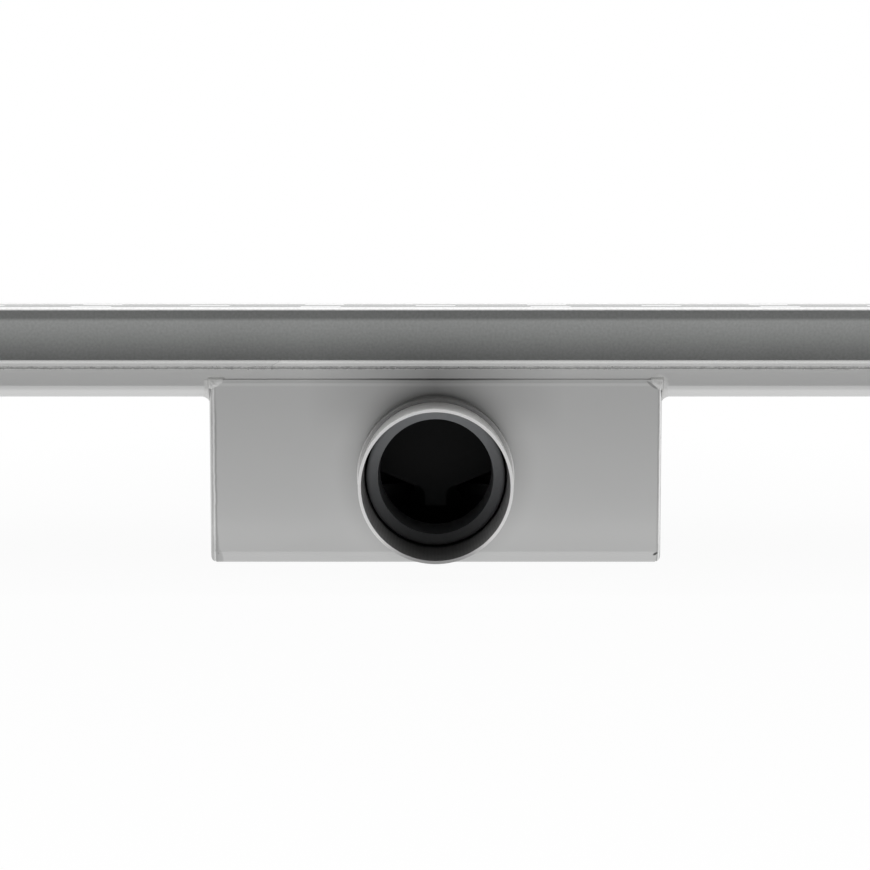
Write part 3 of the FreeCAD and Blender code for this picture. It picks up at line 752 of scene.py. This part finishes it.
def way_round_channel(spacing):
    """Places (y, z) on the channel's outline from lap to lap, each with its outward direction."""
    foot = channel_floor + CHANNEL_BEND
    steps = math.ceil((lap_top - foot) / spacing)
    half = [
        ((-wall_face, lap_top + (foot - lap_top) * k / steps), (-1.0, 0.0)) for k in range(steps)
    ]
    steps = math.ceil(math.pi / 2 * CHANNEL_BEND / spacing)
    for k in range(steps):
        turn = math.pi / 2 * k / steps
        out = (-math.cos(turn), -math.sin(turn))
        y, z = -wall_face + CHANNEL_BEND * (1 + out[0]), foot + CHANNEL_BEND * out[1]
        half.append(((y, z), out))
    flat = wall_face - CHANNEL_BEND
    steps = math.ceil(flat / spacing)
    half += [((-flat * (1 - k / steps), channel_floor), (0.0, -1.0)) for k in range(steps)]
    other = [((-y, z), (-a, b)) for (y, z), (a, b) in reversed(half)]
    return half + [((0.0, channel_floor), (0.0, -1.0))] + other


print("steps round the channel:", len(way_round_channel(BEAD_SPACING)))

# %% Bead round the channel
BEAD_STEPS = 8
SUNK, TOE = 0.2 * MM, 0.1 * MM
# The bead's two legs in mm, on the channel's walls and with what each gains below the channel.
PLATE_LEG, PLATE_LEG_GAIN = 1.0, 1.9
CHANNEL_LEG, CHANNEL_LEG_GAIN = 1.9, 1.0


def bead_section(number, below):
    """The bead at one step of its way, as points (away from the plate, out of the channel)."""
    swell = 1 + 0.05 * math.sin(1.9 * number) + 0.04 * math.sin(0.83 * number)
    down = (PLATE_LEG + PLATE_LEG_GAIN * below) * MM * swell
    aside = (CHANNEL_LEG + CHANNEL_LEG_GAIN * below) * MM * swell
    section = [(-SUNK, -SUNK), (-TOE, down)]
    for k in range(1, BEAD_STEPS):
        turn = math.pi / 2 * k / BEAD_STEPS
        section.append((aside * (1 - math.cos(turn)), down * (1 - math.sin(turn))))
    return section + [(aside, -TOE)]


def bead_round_channel(side):
    """Vertices and faces of the bead at one end of the sump."""
    verts, faces = [], []
    for number, ((y, z), (out_y, out_z)) in enumerate(way_round_channel(BEAD_SPACING)):
        section = bead_section(number, -out_z)
        verts += [(side * (plate_end + u), y + out_y * n, z + out_z * n) for u, n in section]
    count = len(section)
    rows = len(verts) // count
    for row in range(rows - 1):
        for k in range(count):
            a, b = row * count + k, row * count + (k + 1) % count
            faces.append((a, b, b + count, a + count)[:: -side])
    faces.append(tuple(range(count))[::side])
    faces.append(tuple(range((rows - 1) * count, rows * count))[:: -side])
    return verts, faces


bead_parts = [bead_round_channel(side) for side in (-1, 1)]
print("bead vertices:", [len(verts) for verts, _ in bead_parts])

# %% [markdown]
# On each upper corner the welder let the bead run out into a flat patch over the end of the lap.
# No two are alike. Geometry Nodes make them from one fine grid: they lay it over the step of the
# lap, raise a low mound on it, cut its outline ragged with noise and press in the half-round
# ripples that a weld pool leaves. On the grid, u runs away from the sump's middle and w upwards,
# both from the lap's upper corner.

# %% Parts of the weld patch
STEP_WIDTH = 0.9 * MM
BEND_START = channel_floor + CHANNEL_BEND - lap_top


def under_patch(tree, u, w, lap_step):
    """The height of the lap's step, and how far the channel bends away below it."""
    on_plate = ramp(tree, u, -0.1 * MM, STEP_WIDTH, 1.0, 0.0)
    on_lap = ramp(tree, w, 0.0, STEP_WIDTH, 1.0, 0.0)
    below = sums(tree, "MAXIMUM", sums(tree, "SUBTRACT", BEND_START, w), 0.0)
    off_plate = sums(tree, "SUBTRACT", 1.0, on_plate)
    bend = chain(tree, "MULTIPLY", below, below, 0.5 / CHANNEL_BEND, off_plate)
    return chain(tree, "MULTIPLY", on_plate, on_lap, lap_step), bend


def patch_span(tree, u, w, given, ragged):
    """0 in the patch's middle and about 1 on its ragged outline."""
    long = sums(tree, "DIVIDE", sums(tree, "ADD", u, given["Inset"]), given["Length"])
    wide = sums(tree, "DIVIDE", sums(tree, "ADD", w, 0.5 * MM), given["Width"])
    lean = sums(tree, "MULTIPLY_ADD", wide, 0.25, long)
    smooth = sums(tree, "SQRT", squares(tree, lean, wide))
    return sums(tree, "ADD", smooth, swing(tree, ragged, 0.7))


def patch_ripples(tree, u, w, given, ragged):
    """Waves round the place where the weld pool set last."""
    tip_u, tip_w = sums(tree, "ADD", u, 3.5 * MM), sums(tree, "SUBTRACT", w, 0.6 * MM)
    from_tip = sums(tree, "SQRT", squares(tree, tip_u, tip_w))
    turns = sums(tree, "DIVIDE", from_tip, given["Ripple Pitch"])
    turns = sums(tree, "MULTIPLY_ADD", ragged, 1.6, turns)
    waves = sums(tree, "SINE", sums(tree, "MULTIPLY", turns, math.tau))
    return sums(tree, "MULTIPLY", waves, given["Ripple Depth"])


print(f"the channel bends away {-BEND_START / MM:.1f} mm below the lap's edge")

# %% Node group: weld patch
GEOMETRY, MATERIAL = "NodeSocketGeometry", "NodeSocketMaterial"
PATCH_ROWS = 81
CUT_SPAN = 1.15


def weld_patch_group():
    """A ragged, rippled patch of weld over the corner of the lap."""
    tree, given, out = new_group(
        "weld_patch",
        (
            ("Reach", FLOAT, 7.0 * MM),
            ("Lap Step", FLOAT, 1.2 * MM),
            ("Mound", FLOAT, 0.3 * MM),
            ("Length", FLOAT, 3.2 * MM),
            ("Inset", FLOAT, 1.6 * MM),
            ("Width", FLOAT, 2.7 * MM),
            ("Ripple Pitch", FLOAT, 1.1 * MM),
            ("Ripple Depth", FLOAT, 0.035 * MM),
            ("Seed", FLOAT, 0.0),
            ("Steel", MATERIAL, None),
        ),
        (("Geometry", GEOMETRY),),
        "GeometryNodeTree",
    )
    size = sums(tree, "MULTIPLY", given["Reach"], 2.0)
    grid = add(
        tree, "GeometryNodeMeshGrid", Size_X=size, Size_Y=size, Vertices_X=PATCH_ROWS,
        Vertices_Y=PATCH_ROWS,
    )
    flat = split(tree, tree.nodes.new("GeometryNodeInputPosition").outputs[0])
    u, w = flat["X"], flat["Y"]
    seeded = add(tree, "ShaderNodeCombineXYZ", X=u, Y=w, Z=given["Seed"]).outputs[0]
    ragged = noise(tree, seeded, 420.0, 4.0, 0.6)
    span = patch_span(tree, u, w, given, ragged)
    inside = ramp(tree, span, 0.3, 1.0, 1.0, 0.0)
    sunk = ramp(tree, span, 0.9, 1.12, 0.0, 0.35 * MM)
    lap, bend = under_patch(tree, u, w, given["Lap Step"])
    lumps = swing(tree, noise(tree, seeded, 600.0), 0.24 * MM)
    ripples = sums(tree, "MULTIPLY", patch_ripples(tree, u, w, given, ragged), inside)
    height = sums(tree, "ADD", lap, sums(tree, "MULTIPLY", given["Mound"], inside))
    height = sums(tree, "ADD", height, sums(tree, "MULTIPLY_ADD", lumps, inside, ripples))
    height = chain(tree, "SUBTRACT", height, sunk, bend)
    inwards = sums(tree, "MULTIPLY", height, -1.0)
    lifted = add(tree, "ShaderNodeCombineXYZ", X=u, Y=inwards, Z=w).outputs[0]
    moved = add(
        tree, "GeometryNodeSetPosition", Geometry=grid.outputs["Mesh"], Position=lifted
    )
    spare = add(tree, "FunctionNodeCompare", {"data_type": "FLOAT", "operation": "GREATER_THAN"})
    feed(tree, spare.inputs[0], span)
    feed(tree, spare.inputs[1], CUT_SPAN)
    kept = add(
        tree, "GeometryNodeDeleteGeometry", {"domain": "POINT"}, Geometry=moved.outputs[0],
        Selection=spare.outputs[0],
    )
    smooth = add(tree, "GeometryNodeSetShadeSmooth", Geometry=kept.outputs[0])
    real = add(tree, "GeometryNodeRealizeInstances", Geometry=smooth.outputs[0])
    painted = add(
        tree, "GeometryNodeSetMaterial", Geometry=real.outputs[0], Material=given["Steel"]
    )
    feed(tree, out["Geometry"], painted.outputs[0])
    return tree


weld_patch = weld_patch_group()
print("node group made:", weld_patch.name)

# %% [markdown]
# The group runs once for each corner, with its own seed, and its mesh joins the beads in one piece
# that stands for both welds of the solid model. The patches on the right reach further out.

# %% Beads and patches as one piece
LEFT_INSET, RIGHT_INSET = 1.6 * MM, 0.7 * MM


def grown(group, **values):
    """The mesh that a geometry node group makes with some of its inputs set."""
    carrier = bpy.data.objects.new(group.name, bpy.data.meshes.new(group.name))
    bpy.context.scene.collection.objects.link(carrier)
    modifier = carrier.modifiers.new(group.name, "NODES")
    modifier.node_group = group
    for item in group.interface.items_tree:
        if item.item_type == "SOCKET" and item.in_out == "INPUT" and item.name in values:
            modifier[item.identifier] = values[item.name]
    evaluated = carrier.evaluated_get(bpy.context.evaluated_depsgraph_get())
    mesh = bpy.data.meshes.new_from_object(evaluated)
    bpy.data.objects.remove(carrier)
    return mesh


def weld_piece():
    """Both beads and the four patches as one mesh."""
    verts, faces = [], []
    for some_verts, some_faces in bead_parts:
        faces += [tuple(len(verts) + k for k in face) for face in some_faces]
        verts += some_verts
    for side in (-1, 1):
        for front in (-1, 1):
            seed = 0.37 * side + 0.11 * front
            inset = LEFT_INSET if side < 0 else RIGHT_INSET
            patch = grown(weld_patch, Seed=seed, Steel=weld_steel, Inset=inset)
            first = len(verts)
            for vertex in patch.vertices:
                u, h, w = vertex.co
                verts.append((side * (plate_end + u), front * (wall_face - h), lap_top + w))
            step = side * -front
            faces += [tuple(first + k for k in face.vertices)[::step] for face in patch.polygons]
    mesh = bpy.data.meshes.new("welds")
    mesh.from_pydata(verts, [], faces)
    mesh.materials.append(weld_steel)
    mesh.shade_smooth()
    piece = bpy.data.objects.new("welds", mesh)
    bpy.context.scene.collection.objects.link(piece)
    return piece


welds = weld_piece()
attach(welds, "root")
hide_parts("sump_weld_left", "sump_weld_right")
print("weld faces:", len(welds.data.polygons))

# %% [markdown]
# ## Studio
# A white floor runs under and behind the drain, and the world is white. To the camera and in the
# steel's reflections both have a strength of 1, which is white. As light on the drain they are
# weaker, so that pale steel doesn't clip, and near the drain the floor keeps a soft shadow.

# %% Floor and world
FLOOR_SIDE = 12.0
WHITE = (1.0, 1.0, 1.0)
WORLD_LIGHT = 0.55


def stage_plane(name, width, depth, place, turn, material):
    """A flat stage piece that is no part of the drain."""
    mesh = bpy.data.meshes.new(name)
    x, y = width / 2, depth / 2
    mesh.from_pydata([(-x, -y, 0), (x, -y, 0), (x, y, 0), (-x, y, 0)], [], [(0, 1, 2, 3)])
    mesh.materials.append(material)
    plane = bpy.data.objects.new(name, mesh)
    plane.location = place
    plane.rotation_euler = turn
    bpy.context.scene.collection.objects.link(plane)
    return plane


def seen_directly(tree):
    """1 for rays from the camera and for those that gloss or clear material sends on."""
    rays = tree.nodes.new("ShaderNodeLightPath").outputs
    kinds = ("Is Camera Ray", "Is Glossy Ray", "Is Transmission Ray")
    return chain(tree, "MAXIMUM", *(rays[kind] for kind in kinds))


def floor_finish():
    """White paper that glows to the eye, and keeps a soft shadow near the drain."""
    material, tree, shader, place = new_finish("floor_white", Roughness=0.9)
    feed(tree, shader.inputs["Base Color"], (0.86, 0.86, 0.86))
    glow = add(tree, "ShaderNodeEmission", Color=WHITE, Strength=1.0)
    distance = add(tree, "ShaderNodeVectorMath", {"operation": "LENGTH"})
    feed(tree, distance.inputs[0], place)
    glowing = ramp(tree, distance.outputs["Value"], 0.1, 0.5, 0.94, 1.0)
    both = add(tree, "ShaderNodeMixShader")
    share = sums(tree, "MULTIPLY", seen_directly(tree), glowing)
    for socket, value in zip(both.inputs, (share, shader.outputs[0], glow.outputs[0])):
        feed(tree, socket, value)
    show(tree, both.outputs[0])
    return material


stage_plane("floor", FLOOR_SIDE, FLOOR_SIDE, (0, 0, cad_box[0][2]), (0, 0, 0), floor_finish())
world = bpy.data.worlds.new("studio")
bpy.context.scene.world = world
world.use_nodes = True
world_tree = world.node_tree
world_tree.nodes.clear()
brightness = ramp(world_tree, seen_directly(world_tree), 0.0, 1.0, WORLD_LIGHT, 1.0)
sky = add(world_tree, "ShaderNodeBackground", Color=WHITE, Strength=brightness)
world_out = world_tree.nodes.new("ShaderNodeOutputWorld")
world_tree.links.new(sky.outputs[0], world_out.inputs["Surface"])
print("floor and world made")

# %% [markdown]
# Steel shows what it faces, so two cards that the camera doesn't see shape it, as in a real studio:
# a grey one lies in front of the drain and a dark one stands behind the camera.

# %% Two cards for the steel to face
CARD_WIDTH = 3.0
CARD_GREY, CARD_DARK = 0.8, 0.09


def card_finish(name, level):
    """A card with one even brightness."""
    material, tree, shader, _ = new_finish(name)
    glow = add(tree, "ShaderNodeEmission", Color=WHITE, Strength=level)
    show(tree, glow.outputs[0])
    tree.nodes.remove(shader)
    return material


grey, dark = card_finish("card_grey", CARD_GREY), card_finish("card_dark", CARD_DARK)
upright = (math.radians(90), 0, 0)
for card in (
    stage_plane("lying_card", CARD_WIDTH, 1.41, (0, -0.795, 0.001), (0, 0, 0), grey),
    stage_plane("standing_card", CARD_WIDTH, 1.2, (0, -1.5, 0.6), upright, dark),
):
    card.visible_camera = False
print("cards made")

# %% [markdown]
# Three soft lamps light the drain, a large one from above and one from each side of the camera.

# %% Lamps
LAMP_AIM = Vector((0, 0, 0.05))
LAMPS = (
    ("top_light", 5.0, 1.6, (0, 0.1, 1.7)),
    ("left_light", 5.0, 1.0, (-1.6, -0.7, 0.9)),
    ("right_light", 5.0, 1.0, (1.6, -0.7, 0.9)),
)
for name, power, size, place in LAMPS:
    light = bpy.data.lights.new(name, "AREA")
    light.energy = power
    light.shape = "SQUARE"
    light.size = size
    lamp = bpy.data.objects.new(name, light)
    lamp.location = place
    lamp.rotation_euler = (LAMP_AIM - Vector(place)).to_track_quat("-Z", "Y").to_euler()
    bpy.context.scene.collection.objects.link(lamp)
print("lamps hung:", len(LAMPS))

# %% [markdown]
# ## Camera
# The photograph was taken from just above the rim, a little under 0.7 m away, with a lens of about
# 80 mm, looking down a few degrees.

# %% Camera
CAMERA_PLACE = (-0.00022, -0.68274, 0.10549)
CAMERA_DOWN = math.radians(5.368)
camera_data = bpy.data.cameras.new("camera")
camera_data.sensor_width = 36.0
camera_data.lens = 79.54
camera_data.clip_start = 0.01
camera = bpy.data.objects.new("camera", camera_data)
camera.location = CAMERA_PLACE
camera.rotation_euler = (math.pi / 2 - CAMERA_DOWN, 0, 0)
bpy.context.scene.collection.objects.link(camera)
bpy.context.scene.camera = camera
bpy.context.scene.view_settings.view_transform = "Standard"
print("camera set")
